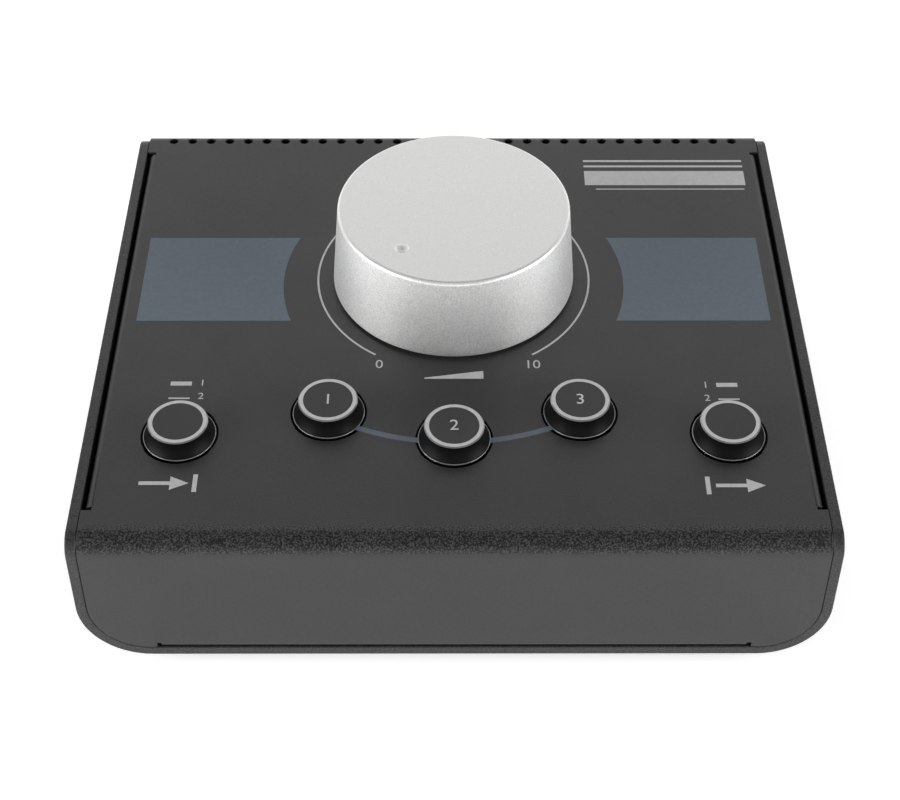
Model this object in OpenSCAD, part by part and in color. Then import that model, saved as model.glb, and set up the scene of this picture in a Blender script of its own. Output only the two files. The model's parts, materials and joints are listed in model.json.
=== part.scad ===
// Desktop studio monitor controller: a wedge-shaped steel housing with one large volume
// knob, five round push buttons, and eight jack sockets on its rear panel.
// X runs to the right, Y to the back and Z up. The origin is the middle of the footprint,
// on the surface that the feet stand on.

/* [Housing] */
// Width over the side walls
body_w = 195; // [190:1:220]
// Depth from the front face to the rear edge of the side walls
body_d = 167.2; // [164:0.1:190]
// Height of the front face, from the underside of the shell to the sharp top edge
front_h = 41.8; // [40:0.1:55]
// Slope of the top panel, which rises to the back, in degrees
slope = 4; // [2:0.5:8]

/* [Lower shell] */
// Thickness of the lower shell's sheet
shell_t = 2.8; // [2:0.1:3.2]
// Outer radius of the bends between the bottom and the side walls
corner_r = 18; // [14:0.5:20]
// Radius of the rear top corner of each side wall
wall_rear_r = 6.5; // [3:0.5:9]
// Gap between the shell and the cut edges of the cover
seam = 0.3; // [0.2:0.05:0.5]

/* [Top cover and rear panel] */
// Thickness of the sheet of the cover and the rear panel
sheet_t = 1.2; // [1:0.1:1.5]
// Outer radius of the bend between the front face and the top panel
front_bend_r = 5.5; // [4:0.5:8]
// Outer radius of the bend between the top panel and the rear flange
rear_bend_r = 4.5; // [3.5:0.5:6]
// Outer radius of the small folds at the side and bottom flanges
fold_r = 1.8; // [1.7:0.1:2.4]
// Width of the slot between a side flange and the shell's side wall
side_slot_w = 1; // [0.3:0.1:1.5]
// How far the side flanges hang below the top panel
side_flange_h = 9; // [6:0.5:12]
// Distance along the slope from the front edge to the side flanges
side_flange_front = 11.5; // [10:0.5:20]
// Distance along the slope from the rear edge to the side flanges
side_flange_rear = 10.3; // [8:0.1:16]
// Depth of the folded bottom flanges
bottom_flange_d = 14; // [13:0.5:17]
// Distance from the shell's corner bends to the ends of the bottom flanges
bottom_flange_inset = 1.5; // [1:0.1:5]
// Height of the cover's rear flange, from the sharp rear edge
rear_flange_h = 13; // [12.5:0.5:15]
// Width of the relief notch at each end of a folded flange
relief_w = 1.2; // [0.8:0.1:2]

/* [Vents] */
// Least distance from the side walls to the outer vent holes
vent_margin = 6; // [4:0.5:20]
// Distance between two vent holes
vent_pitch = 5.8; // [4.5:0.1:5.8]
// Diameter of a vent hole
vent_d = 2.8; // [2:0.1:3.2]
// How far round the rear bend the vent holes sit, in degrees
vent_tilt = 2; // [0:1:25]

/* [Volume knob] */
// Distance along the slope from the knob's axis to the rear edge
knob_to_rear = 67.8; // [62:0.1:70]
// Diameter of the knob at its lower edge
knob_base_d = 68.8; // [64:0.1:72]
// Diameter of the knob at its top, before the edge is rounded
knob_top_d = 64.4; // [60:0.1:66]
// Height of the knob
knob_h = 25.1; // [23:0.1:30]
// Gap between the knob and the top panel
knob_gap = 1.1; // [0.8:0.1:2]
// Radius of the knob's top edge
knob_edge_r = 1.5; // [0.5:0.1:2.5]
// Thickness of the knob's top
knob_roof = 3.4; // [2.5:0.1:4]
// Diameter of the hollow under the knob
knob_bore_d = 58; // [50:0.5:59]
// Diameter of the pointer dimple
dimple_d = 3.9; // [2:0.1:5]
// Depth of the pointer dimple
dimple_depth = 0.8; // [0.3:0.1:1.2]
// Distance of the dimple from the knob's axis
dimple_r = 22.4; // [15:0.1:26]
// Angle of the dimple at the lowest volume, clockwise from straight towards the front
dimple_angle = 38.7; // [30:0.1:45]

/* [Buttons] */
// Diameter of a cap's flat top
cap_top_d = 15.8; // [14:0.1:16.5]
// Diameter of a cap at the foot of its skirt
cap_base_d = 19.2; // [18:0.1:20]
// Height of a cap's top over the panel
cap_h = 4.8; // [4:0.1:6]
// Chamfer round a cap's top
cap_chamfer = 0.3; // [0.1:0.1:0.6]
// Height of the upright rim at the foot of the skirt
cap_rim = 0.35; // [0.2:0.05:0.8]
// Wall of a cap
cap_wall = 1.4; // [1:0.1:1.8]
// Diameter of a cap's retaining flange, under the panel
cap_flange_d = 22.6; // [22:0.1:23.5]
// Thickness of the retaining flange
cap_flange_t = 1.2; // [0.8:0.1:1.5]
// Diameter of a button hole in the panel
button_hole_d = 20.8; // [20.6:0.1:21.4]
// Gap between a cap's flange and the panel above it
cap_play = 0.6; // [0.3:0.1:0.8]
// Diameter of the boss inside a cap
cap_boss_d = 6; // [5.6:0.1:7]
// Gap between a pressed cap's boss and the switch
press_gap = 0.9; // [0.4:0.1:1.2]
// Travel of a button
button_travel = 2.5; // [1.5:0.1:2.5]
// Distance of the three middle buttons from the knob's axis
middle_button_r = 63.7; // [62:0.1:68]
// Angle between two of the middle buttons about the knob's axis
middle_button_angle = 31.6; // [28:0.1:34]
// Sideways distance of the outer buttons from the side faces
outer_button_side = 25.25; // [23:0.05:30]
// Distance of the outer buttons in front of the knob's axis
outer_button_y = 62.2; // [56:0.1:66]

/* [Switches] */
// Width of a switch body
switch_w = 8.5; // [8:0.1:10]
// Height of a switch body over the board
switch_h = 8; // [8:0.1:8.4]
// Wall of a switch body
switch_wall = 1; // [0.8:0.1:1.2]
// Width of the plunger's stem
stem_w = 3; // [2.6:0.1:3.4]
// Width of the plunger's collar
collar_w = 5.6; // [5:0.1:5.8]
// Thickness of the plunger's collar
collar_t = 1.2; // [1:0.1:1.3]
// How far the stem reaches above the panel's surface
stem_top = 2; // [1:0.1:2.4]
// Gap between the plunger and the switch body
slide_gap = 0.15; // [0.1:0.05:0.25]
// Diameter of a return spring, at the middle of its wire
spring_d = 3.8; // [3.2:0.1:4.2]
// Diameter of the spring's wire
spring_wire = 0.4; // [0.3:0.05:0.45]
// Turns of a return spring
spring_turns = 4; // [3:1:5]

/* [Potentiometer] */
// Diameter of the shaft
shaft_d = 6; // [5:0.1:6.35]
// Running gap round the shaft
shaft_gap = 0.05; // [0.03:0.01:0.08]
// Depth of the flat on the shaft
shaft_flat = 1.5; // [1:0.1:2]
// Diameter of the threaded bush
bush_d = 7; // [7:0.1:9]
// How far the bush stands above the panel
bush_h = 5.5; // [5:0.1:6]
// Width across the flats of the nut on the bush
pot_nut_af = 10; // [9:0.1:11]
// Thickness of the nut on the bush
pot_nut_t = 2; // [1.5:0.1:2.4]
// Diameter of the washer under that nut
pot_washer_d = 12; // [11:0.1:14]
// Diameter of the potentiometer's case
pot_d = 16.6; // [16:0.1:20]
// Height of the case under its lid
pot_h = 11.5; // [10:0.1:12.5]
// Wall of the case, and thickness of its lid
pot_wall = 1; // [0.8:0.1:1.2]
// Gap between the rotor and the wall of the case
rotor_gap = 0.6; // [0.4:0.1:1]
// Thickness of each of the two rotor discs
rotor_t = 1.4; // [1:0.1:2]
// Gap between the shaft's lower end and the floor of the case
shaft_end_gap = 0.4; // [0.2:0.1:0.6]
// Gap between the bush and the knob's hub above it
hub_gap = 1; // [0.6:0.1:1.5]
// Length of the round part of the hub's bore, under its flat
hub_lead = 1; // [0.5:0.1:2]
// Thickness of the hub over the shaft's end
hub_roof = 3; // [2:0.1:4]
// Diameter of the knob hub's boss
hub_d = 14; // [12:0.5:20]
// Thickness of the hub's ribs
hub_rib_t = 2; // [1.5:0.1:3]
// Height of the hub's ribs
hub_rib_h = 10; // [6:0.5:12]

/* [Circuit boards] */
// Thickness of the boards
board_t = 1.6; // [1.2:0.1:2]
// Distance from the panel's surface down to the control board
board_drop = 16; // [16:0.1:16.4]
// Distance of the control board from the side walls
control_board_side = 9.7; // [8:0.1:12]
// Depth of the control board in front of the knob's axis
control_board_front = 80; // [77:1:84]
// Gap between the control board and the jack board, seen from above
board_gap = 7.2; // [7:0.1:9]
// Distance of the rear standoffs from the control board's sides
standoff_side = 7; // [6:0.5:10]
// Distance of the rear standoffs from the control board's rear edge
standoff_rear = 8; // [5:0.5:9]
// Distance of the front standoffs from the control board's front edge
standoff_front = 6; // [5:0.5:8]
// Depth of the threaded bore in a standoff
standoff_bore_l = 9; // [7:0.5:11]
// Part of that bore that its screw leaves free
standoff_spare = 3; // [2:0.5:4]
// Corner radius of the boards
board_corner_r = 3; // [1:0.5:6]
// Distance of the jack board from the side walls
jack_board_side = 7.7; // [6:0.1:9]
// Gap between the jack board and the rear panel
jack_board_play = 1; // [0.5:0.1:2]
// Depth of the jack board
jack_board_d = 40; // [39:0.5:44]
// Diameter of a terminal pin
pin_d = 0.7; // [0.5:0.1:0.8]
// Length of the pins below a board
pin_tail = 1.4; // [0.8:0.1:2]

/* [Ribbon cable] */
// Width of the ribbon
ribbon_w = 20.3; // [15:0.1:22]
// Thickness of the ribbon
ribbon_t = 0.9; // [0.7:0.1:1.1]
// Depth of the ribbon's hanging loop
ribbon_drop = 4; // [3:0.5:6]
// Radius of the ribbon's bends beside the plugs
ribbon_r = 2.2; // [2:0.1:2.6]
// Length of a header
header_l = 28; // [27:0.5:32]
// Distance of the control header from the rear edge of its board
control_header_edge = 2; // [1:0.5:4]
// Distance of the jack header from the front edge of its board
jack_header_edge = 1; // [0.5:0.5:3]
// Width of a header
header_w = 8.8; // [8.6:0.1:9.4]
// Height of a header
header_h = 9; // [8:0.1:9.5]
// Wall of a header
header_wall = 1; // [0.8:0.1:1.3]
// Height of a plug over its header's rim
plug_rise = 3; // [2.8:0.1:4]

/* [Jack sockets] */
// Number of jack sockets, in two groups
jack_count = 8; // [4:2:8]
// Distance of the outer sockets' axes from the side walls
jack_side = 18.2; // [14:0.1:24]
// Extra distance between the two groups
jack_group_gap = 6; // [0:0.5:8]
// Height of the sockets over the shell's underside
jack_up = 20; // [19:0.1:22]
// Diameter of a socket's bore, for a 6.35 mm plug
jack_bore_d = 6.5; // [6.4:0.05:6.6]
// Depth of the bore from its mouth
jack_bore_depth = 31; // [29:0.5:33]
// Diameter of the threaded nose
jack_nose_d = 9.4; // [9:0.1:11]
// How far the nose stands out of the rear panel
jack_nose_out = 5.5; // [4.5:0.1:7]
// Width and height of a socket body
jack_body_w = 15; // [14:0.1:16]
// Depth of a socket body
jack_body_d = 27; // [26:0.5:30]
// Width of a jack nut across its flats
jack_nut_af = 14; // [13:0.1:15]
// Thickness of a jack nut
jack_nut_t = 2.4; // [2:0.1:3]
// Chamfer at the mouth of a socket
jack_mouth_chamfer = 0.4; // [0.2:0.1:0.6]
// Diameter of a jack washer
jack_washer_d = 14.4; // [13:0.1:15]

/* [Fasteners and feet] */
// Diameter of the machine screws
screw_d = 3; // [2.5:0.1:3]
// Diameter of a countersunk screw head
csk_head_d = 5.6; // [5:0.1:6.4]
// Length of a bottom screw
bottom_screw_l = 7; // [6:0.1:8]
// Sideways distance of the outer bottom screws from the side faces
bottom_screw_side = 37.5; // [35:0.5:45]
// Distance of the bottom screws from the face that carries their flange
bottom_screw_y = 8; // [7.5:0.1:8.5]
// Diameter of a rear screw's head
pan_head_d = 5.5; // [5:0.1:6]
// Height of a rear screw's head
pan_head_h = 1.9; // [1.5:0.1:2.2]
// Sideways distance of the outer rear screws from the side faces
rear_screw_side = 17.5; // [13:0.5:25]
// Depth of the rear screws below the sharp rear edge
rear_screw_drop = 9; // [8.5:0.1:9.4]
// How far a rear screw stands out of its clinch nut
screw_end = 0.8; // [0.4:0.1:1.2]
// Diameter of a clinch nut
clinch_nut_d = 6.2; // [5.5:0.1:7]
// Height of a clinch nut
clinch_nut_h = 2.2; // [1.8:0.1:2.6]
// Width of a standoff across its flats
standoff_af = 5.5; // [5:0.1:7]
// Thickness of the plain washers and the potentiometer's nut washer
washer_t = 0.6; // [0.4:0.1:0.8]
// Diameter of a rubber foot
foot_d = 16; // [12:0.5:17]
// Height of a rubber foot
foot_h = 3; // [2:0.1:5]
// Chamfer round the lower edge of a foot
foot_edge = 0.6; // [0.4:0.1:1]
// Sideways distance of the feet from the side faces
foot_side = 28.5; // [27:0.5:38]
// Distance of the feet from the front face and the rear edge
foot_y = 24; // [22:1:34]

/* [Hidden] */
$fn = 48;
BUTTONS = ["source", "mono", "mute", "dim", "monitor"];
HOUSING = ["lower_shell", "top_cover", "rear_panel", "rubber_feet", "bottom_screws",
    "rear_screws", "clinch_nuts"];
CONTROLS = ["control_board", "standoffs", "board_screws", "switch_bodies", "switch_pins",
    "pot_bush", "pot_case", "pot_pins", "pot_washer", "pot_nut", "control_header"];
JACKS = ["jack_board", "jack_bodies", "jack_pins", "jack_washers", "jack_nuts",
    "jack_header", "ribbon_plugs", "ribbon_cable"];
KNOB = ["volume_knob", "knob_hub", "pot_shaft", "pot_rotor"];

// Clearances: a press or screw fit within one piece's own group, a loose hole, and the
// overshoot of a cutting tool
fit_gap = 0.05;
hole_gap = 0.15;
over = 1;
// How far a flat and the bend beside it stand over each other, so that they always meet
bend_lap = 0.005;

// Levels and faces of the housing
jack_reach = jack_nose_out - sheet_t;
front_y = -(body_d + jack_reach) / 2;
rear_y = front_y + body_d;
bottom_z = foot_h;
floor_z = bottom_z + shell_t;
panel_face_y = rear_y - sheet_t;
panel_back_y = panel_face_y - sheet_t;
fold_half = body_w / 2 - corner_r - bottom_flange_inset;
wall_half = body_w / 2 - shell_t;
flange_half = wall_half - side_slot_w;
bottom_screw_x = body_w / 2 - bottom_screw_side;
rear_screw_x = body_w / 2 - rear_screw_side;
foot_x = body_w / 2 - foot_side;
vent_count = 1 + 2 * floor((wall_half - vent_margin) / vent_pitch);
function top_z(y) = bottom_z + front_h + (y - front_y) * tan(slope);
rear_edge_z = top_z(rear_y);
rear_flange_z = rear_edge_z - rear_flange_h;
tub_top = rear_edge_z + over;

// The panel's own frame: its origin is where the knob's axis meets the top surface
knob_back = body_d / cos(slope) - knob_to_rear;
knob_y = front_y + knob_back * cos(slope);
knob_z = top_z(knob_y);

// Centres of the two large bends, seen from the side
front_centre = [front_y + front_bend_r, top_z(front_y + front_bend_r) - front_bend_r / cos(slope)];
rear_centre = [rear_y - rear_bend_r, top_z(rear_y - rear_bend_r) - rear_bend_r / cos(slope)];

// Places of the buttons in the panel's frame
outer_button_x = body_w / 2 - outer_button_side;
middle_button_x = middle_button_r * sin(middle_button_angle);
middle_button_y = middle_button_r * cos(middle_button_angle);
BUTTON_AT = [[-outer_button_x, -outer_button_y], [-middle_button_x, -middle_button_y],
    [0, -middle_button_r], [middle_button_x, -middle_button_y], [outer_button_x, -outer_button_y]];

// Levels of the switches, over the panel's surface
switch_top = switch_h - board_drop;
collar_top = switch_top - switch_wall - slide_gap;
collar_low = collar_top - collar_t;
cap_low = -sheet_t - cap_play - cap_flange_t;
boss_low = switch_top + button_travel + press_gap;
stem_hole_w = stem_w + 2 * fit_gap;

// Levels of the potentiometer and the knob, over the panel's surface
pot_lid_low = -sheet_t - pot_wall;
pot_low = pot_lid_low - pot_h;
knob_top = knob_gap + knob_h;
hub_top = knob_top - knob_roof;
hub_low = bush_h + hub_gap;
shaft_top = hub_top - hub_roof;
shaft_low = pot_low + pot_wall + shaft_end_gap;
bush_hole_d = bush_d + 2 * hole_gap;

// Places of the jack sockets and the jack board
jack_z = bottom_z + jack_up;
jack_board_top = jack_z - jack_body_w / 2;
jack_board_w = 2 * (wall_half - jack_board_side);
jack_board_rear = panel_back_y - jack_board_play;
jack_board_front = jack_board_rear - jack_board_d;
jack_mouth_y = panel_face_y + jack_nose_out;
jack_pitch = (2 * (wall_half - jack_side) - jack_group_gap) / (jack_count - 1);
function jack_x(i) = (i - (jack_count - 1) / 2) * jack_pitch
    + sign(i - (jack_count - 1) / 2) * jack_group_gap / 2;

// The control board's edges, and the places of its standoffs, in the panel's frame
control_board_w = 2 * (wall_half - control_board_side);
control_board_back = (jack_board_front - board_gap - knob_y - board_drop * sin(slope)) / cos(slope);
STANDOFF_AT = [for (side = [-1, 1]) each [
    [side * (control_board_w / 2 - standoff_side), control_board_back - standoff_rear],
    [side * (middle_button_x + outer_button_x) / 2, standoff_front - control_board_front]]];

// The ribbon's two ends, in the plane across the middle of the housing
plug_slot_h = ribbon_t + 2 * hole_gap;
control_header_v = control_board_back - header_w / 2 - control_header_edge;
control_slot_w = -board_drop - board_t - header_h - plug_rise / 2;
jack_header_y = jack_board_front + header_w / 2 + jack_header_edge;
jack_slot_z = jack_board_top + header_h + plug_rise / 2;
ribbon_start_v = control_header_v + header_w / 2;
ribbon_start = [knob_y + ribbon_start_v * cos(slope) - control_slot_w * sin(slope),
    knob_z + ribbon_start_v * sin(slope) + control_slot_w * cos(slope)];
ribbon_end = [jack_header_y - header_w / 2, jack_slot_z];
ribbon_loop_r = (ribbon_end[0] - ribbon_start[0] - ribbon_r * (2 + sin(slope))) / 2;
ribbon_rise = ribbon_drop + ribbon_end[1] - ribbon_start[1] - ribbon_r * (1 - cos(slope));

// ---------------------------------------------------------------- shared forms

// Puts its children in the panel's frame
module on_panel() {
    translate([0, knob_y, knob_z]) rotate([slope, 0, 0]) children();
}

// Turns a side view, drawn in Y and Z, into a bar of the given width across the middle
module along_x(width) {
    rotate([90, 0, 90]) linear_extrude(width, center = true) children();
}

// Turns a front view, drawn in X and Z, into a bar from one Y to another
module along_y(from, to) {
    translate([0, to, 0]) rotate([90, 0, 0]) linear_extrude(to - from) children();
}

// The housing seen from the side: upright front and rear, sloping top, rounded top corners
module wedge(front, front_r, rear, rear_r, inset, low) {
    up = [-sin(slope), cos(slope)];
    polygon([
        [front_y + inset, low], [rear_y - inset, low], [rear_y - inset, rear[1]],
        rear + up * (rear_r - inset), front + up * (front_r - inset),
        [front_y + inset, front[1]]]);
    translate(front) circle(front_r - inset + bend_lap);
    translate(rear) circle(rear_r - inset + bend_lap);
}

// The lower shell seen from the front, shrunk by inset all round
module tub(inset, top = tub_top) {
    half = body_w / 2 - inset;
    r = corner_r - inset;
    low = bottom_z + inset;
    polygon([[-half, top], [-half, low + r], [-half + r, low], [half - r, low],
        [half, low + r], [half, top]]);
    for (side = [-1, 1]) translate([side * (half - r), low + r]) circle(r);
}

// A quarter of a folded sheet, turned from upright at the left to level at the bottom
module fold() {
    translate([fold_r, fold_r]) intersection() {
        difference() {
            circle(fold_r);
            circle(fold_r - sheet_t);
        }
        translate([-fold_r, -fold_r]) square(fold_r);
    }
}

// A flange folded inwards along the lower edge of an upright face
module bottom_flange(face_y, to_rear) {
    translate([0, face_y, floor_z]) mirror([0, to_rear ? 0 : 1, 0])
        along_x(2 * (fold_half - relief_w)) {
            fold();
            translate([fold_r, 0]) square([bottom_flange_d - fold_r, sheet_t]);
        }
}

// The strip of an upright face that its bottom flange replaces
module bottom_flange_cut(face_y) {
    translate([-fold_half, face_y - 2 * sheet_t, floor_z - over])
        cube([2 * fold_half, 4 * sheet_t, fold_r + over]);
}

// Places of the bottom screws along one flange
module at_bottom_screws() {
    for (x = [-bottom_screw_x, 0, bottom_screw_x]) {
        translate([x, front_y + bottom_screw_y, bottom_z]) children();
        translate([x, panel_face_y - bottom_screw_y, bottom_z]) children();
    }
}

// Places of the rear screws, with their own Z pointing out of the rear
module at_rear_screws() {
    for (x = [-rear_screw_x, 0, rear_screw_x])
        translate([x, rear_y, rear_edge_z - rear_screw_drop]) rotate([-90, 0, 0]) children();
}

// Places of the jack sockets, with their own Z pointing out of the rear panel's face
module at_jacks() {
    for (i = [0 : jack_count - 1])
        translate([jack_x(i), panel_face_y, jack_z]) rotate([-90, 0, 0]) children();
}

module at_buttons() {
    on_panel() for (at = BUTTON_AT) translate(at) children();
}

module at_standoffs() {
    on_panel() for (at = STANDOFF_AT) translate(at) children();
}

// A hexagon given by its width across the flats
module hexagon(af) {
    circle(af / sqrt(3), $fn = 6);
}

// A ring standing on Z = 0
module ring(outer_d, inner_d, h) {
    difference() {
        cylinder(h, d = outer_d);
        translate([0, 0, -over]) cylinder(h + 2 * over, d = inner_d);
    }
}

// A cross recess that opens at Z = 0 and goes down
module cross_recess(size) {
    for (a = [0, 90]) rotate(a) translate([-size / 2, -size / 8, -size / 2.5])
        cube([size, size / 4, size / 2.5 + over]);
}

// A pan-head screw: its seat is at Z = 0, the head is above and the shank below
module pan_screw(length) {
    difference() {
        union() {
            translate([0, 0, -length]) cylinder(length, d = screw_d);
            cylinder(pan_head_h * 0.6, d = pan_head_d);
            translate([0, 0, pan_head_h * 0.6])
                cylinder(pan_head_h * 0.4, d1 = pan_head_d, d2 = pan_head_d * 0.7);
        }
        translate([0, 0, pan_head_h]) cross_recess(pan_head_d * 0.5);
    }
}

// A rounded board whose top is at Z = 0, between two corners
module board(from, to) {
    translate([0, 0, -board_t]) linear_extrude(board_t) union() {
        translate([from[0] + board_corner_r, from[1]])
            square([to[0] - from[0] - 2 * board_corner_r, to[1] - from[1]]);
        translate([from[0], from[1] + board_corner_r])
            square([to[0] - from[0], to[1] - from[1] - 2 * board_corner_r]);
        for (x = [from[0] + board_corner_r, to[0] - board_corner_r])
            for (y = [from[1] + board_corner_r, to[1] - board_corner_r])
                translate([x, y]) circle(board_corner_r);
    }
}

// Terminal pins from z = from down to z = to, at a grid of places
module pins(columns, rows, from, to, d) {
    for (x = columns) for (y = rows) translate([x, y, to]) cylinder(from - to, d = d);
}

// ---------------------------------------------------------------- housing

module lower_shell() {
    color("#3f3f40") difference() {
        intersection() {
            along_y(front_y, rear_y) difference() {
                tub(0);
                tub(shell_t, tub_top + over);
            }
            along_x(body_w + over) wedge(front_centre, front_bend_r,
                [rear_y - wall_rear_r, top_z(rear_y - wall_rear_r) - wall_rear_r / cos(slope)],
                wall_rear_r, 0, bottom_z - over);
        }
        at_bottom_screws() {
            countersink(csk_head_d + 2 * hole_gap);
            translate([0, 0, -over]) cylinder(shell_t + 2 * over, d = screw_d + 2 * hole_gap);
        }
    }
}

// The cone of a countersunk head, with its mouth at Z = 0
module countersink(mouth_d) {
    cylinder((mouth_d - screw_d) / 2, d1 = mouth_d, d2 = screw_d);
}

// The cover before its flanges are folded
module cover_sheet() {
    intersection() {
        along_x(body_w) difference() {
            wedge(front_centre, front_bend_r, rear_centre, rear_bend_r, 0, floor_z + seam);
            wedge(front_centre, front_bend_r, rear_centre, rear_bend_r, sheet_t, floor_z - over);
            translate([rear_y - 2 * sheet_t, floor_z - over])
                square([3 * sheet_t, rear_flange_z - floor_z + over]);
        }
        along_y(front_y - over, rear_y + over) tub(shell_t + seam);
    }
}

// The two flanges folded down from the long sides of the top panel
module side_flanges() {
    low = side_flange_front - knob_back + relief_w;
    high = knob_to_rear - side_flange_rear - relief_w;
    on_panel() for (side = [0, 1]) mirror([side, 0, 0])
        translate([-flange_half, high, 0]) rotate([90, 0, 0]) linear_extrude(high - low) {
            mirror([0, 1]) fold();
            translate([0, -side_flange_h]) square([sheet_t, side_flange_h - fold_r]);
        }
}

// The strips of the top panel that the side flanges replace
module side_flange_cut() {
    low = side_flange_front - knob_back;
    high = knob_to_rear - side_flange_rear;
    on_panel() for (side = [0, 1]) mirror([side, 0, 0])
        translate([-wall_half, low, -2 * sheet_t])
            cube([side_slot_w + fold_r, high - low, 3 * sheet_t]);
}

// One row of round holes drilled square to the surface of the rear bend
module vents() {
    for (i = [0 : vent_count - 1])
        translate([(i - (vent_count - 1) / 2) * vent_pitch, rear_centre[0], rear_centre[1]])
            rotate([slope - vent_tilt, 0, 0]) translate([0, 0, rear_bend_r - sheet_t - over])
                cylinder(sheet_t + 2 * over, d = vent_d);
}

module top_cover() {
    color("#464647") difference() {
        union() {
            difference() {
                cover_sheet();
                side_flange_cut();
                bottom_flange_cut(front_y);
            }
            side_flanges();
            bottom_flange(front_y, true);
        }
        vents();
        at_buttons() translate([0, 0, -sheet_t - over])
            cylinder(sheet_t + 2 * over, d = button_hole_d);
        on_panel() translate([0, 0, -sheet_t - over]) cylinder(sheet_t + 2 * over, d = bush_hole_d);
        screw_holes();
    }
}

// Clearance holes for the bottom screws and the rear screws, above the shell
module screw_holes() {
    at_bottom_screws() translate([0, 0, shell_t - over])
        cylinder(sheet_t + 2 * over, d = screw_d + 2 * hole_gap);
    at_rear_screws() translate([0, 0, -2 * sheet_t - over])
        cylinder(2 * sheet_t + 2 * over, d = screw_d + 2 * hole_gap);
}

module rear_panel() {
    color("#3c3c3d") difference() {
        union() {
            difference() {
                along_y(panel_back_y, panel_face_y) intersection() {
                    tub(shell_t + seam);
                    translate([-body_w / 2, floor_z + seam])
                        square([body_w, rear_centre[1] - floor_z - seam]);
                }
                bottom_flange_cut(panel_face_y);
            }
            bottom_flange(panel_face_y, false);
        }
        at_jacks() translate([0, 0, -sheet_t - over])
            cylinder(sheet_t + 2 * over, d = jack_nose_d + 2 * hole_gap);
        screw_holes();
    }
}

module rubber_feet() {
    color("#1b1b1b") for (x = [-foot_x, foot_x]) for (y = [front_y + foot_y, rear_y - foot_y])
        translate([x, y, 0]) {
            cylinder(foot_edge, d1 = foot_d - 2 * foot_edge, d2 = foot_d);
            translate([0, 0, foot_edge]) cylinder(foot_h - foot_edge, d = foot_d);
        }
}

module bottom_screws() {
    color("#232323") at_bottom_screws() difference() {
        union() {
            countersink(csk_head_d);
            cylinder(bottom_screw_l, d = screw_d);
        }
        mirror([0, 0, 1]) cross_recess(csk_head_d * 0.5);
    }
}

module rear_screws() {
    color("#232323") at_rear_screws() pan_screw(2 * sheet_t + clinch_nut_h + screw_end);
}

module clinch_nuts() {
    color("#b9bcc0") {
        at_bottom_screws() translate([0, 0, shell_t + sheet_t])
            ring(clinch_nut_d, screw_d + 2 * fit_gap, clinch_nut_h);
        at_rear_screws() translate([0, 0, -2 * sheet_t - clinch_nut_h])
            ring(clinch_nut_d, screw_d + 2 * fit_gap, clinch_nut_h);
    }
}

// ---------------------------------------------------------------- control board

switch_columns = [-2.5, 2.5];
switch_rows = [-2.5, 0, 2.5];
pot_columns = [-5, 0, 5];
pot_rows = [-5.5, -3];

module control_board() {
    pin_hole_d = pin_d + 2 * hole_gap;
    color("#1f5a35") difference() {
        on_panel() translate([0, 0, -board_drop])
            board([-control_board_w / 2, -control_board_front],
                [control_board_w / 2, control_board_back]);
        at_standoffs() translate([0, 0, -board_drop - board_t - over])
            cylinder(board_t + 2 * over, d = screw_d + 2 * hole_gap);
        at_buttons() pins(switch_columns, switch_rows, over - board_drop,
            -board_drop - board_t - over, pin_hole_d);
        on_panel() pins(pot_columns, pot_rows, over - board_drop,
            -board_drop - board_t - over, pin_hole_d);
    }
}

module standoffs() {
    length = board_drop - sheet_t;
    color("#c9cbce") at_standoffs() translate([0, 0, -board_drop]) difference() {
        linear_extrude(length) hexagon(standoff_af);
        translate([0, 0, -over]) cylinder(standoff_bore_l + over, d = screw_d + 2 * fit_gap);
    }
}

module board_screws() {
    color("#c9cbce") at_standoffs() translate([0, 0, -board_drop - board_t]) mirror([0, 0, 1])
        pan_screw(board_t + standoff_bore_l - standoff_spare);
}

module switch_bodies() {
    cavity_w = switch_w - 2 * switch_wall;
    color("#e8e6df") at_buttons() translate([0, 0, -board_drop]) difference() {
        translate([-switch_w / 2, -switch_w / 2, 0]) cube([switch_w, switch_w, switch_h]);
        translate([-cavity_w / 2, -cavity_w / 2, switch_wall])
            cube([cavity_w, cavity_w, switch_h - 2 * switch_wall]);
        translate([-stem_w / 2 - slide_gap, -stem_w / 2 - slide_gap, switch_wall])
            cube([stem_w + 2 * slide_gap, stem_w + 2 * slide_gap, switch_h]);
    }
}

module switch_pins() {
    color("#d0d0cc") at_buttons() pins(switch_columns, switch_rows, -board_drop,
        -board_drop - board_t - pin_tail, pin_d);
}

// ---------------------------------------------------------------- potentiometer

module pot_bush() {
    color("#b8bbbf") on_panel() {
        translate([0, 0, pot_lid_low]) ring(pot_d, shaft_d + 2 * shaft_gap, pot_wall);
        translate([0, 0, -sheet_t]) ring(bush_d, shaft_d + 2 * shaft_gap, bush_h + sheet_t);
    }
}

module pot_case() {
    color("#2b2b2e") on_panel() translate([0, 0, pot_low]) difference() {
        cylinder(pot_h, d = pot_d);
        translate([0, 0, pot_wall]) cylinder(pot_h, d = pot_d - 2 * pot_wall);
    }
}

module pot_pins() {
    color("#d0d0cc") on_panel() pins(pot_columns, pot_rows, pot_low,
        -board_drop - board_t - pin_tail, pin_d);
}

module pot_washer() {
    color("#c9cbce") on_panel() ring(pot_washer_d, bush_hole_d, washer_t);
}

module pot_nut() {
    color("#c9cbce") on_panel() translate([0, 0, washer_t]) difference() {
        linear_extrude(pot_nut_t) hexagon(pot_nut_af);
        translate([0, 0, -over]) cylinder(pot_nut_t + 2 * over, d = bush_d + 2 * fit_gap);
    }
}

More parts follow.
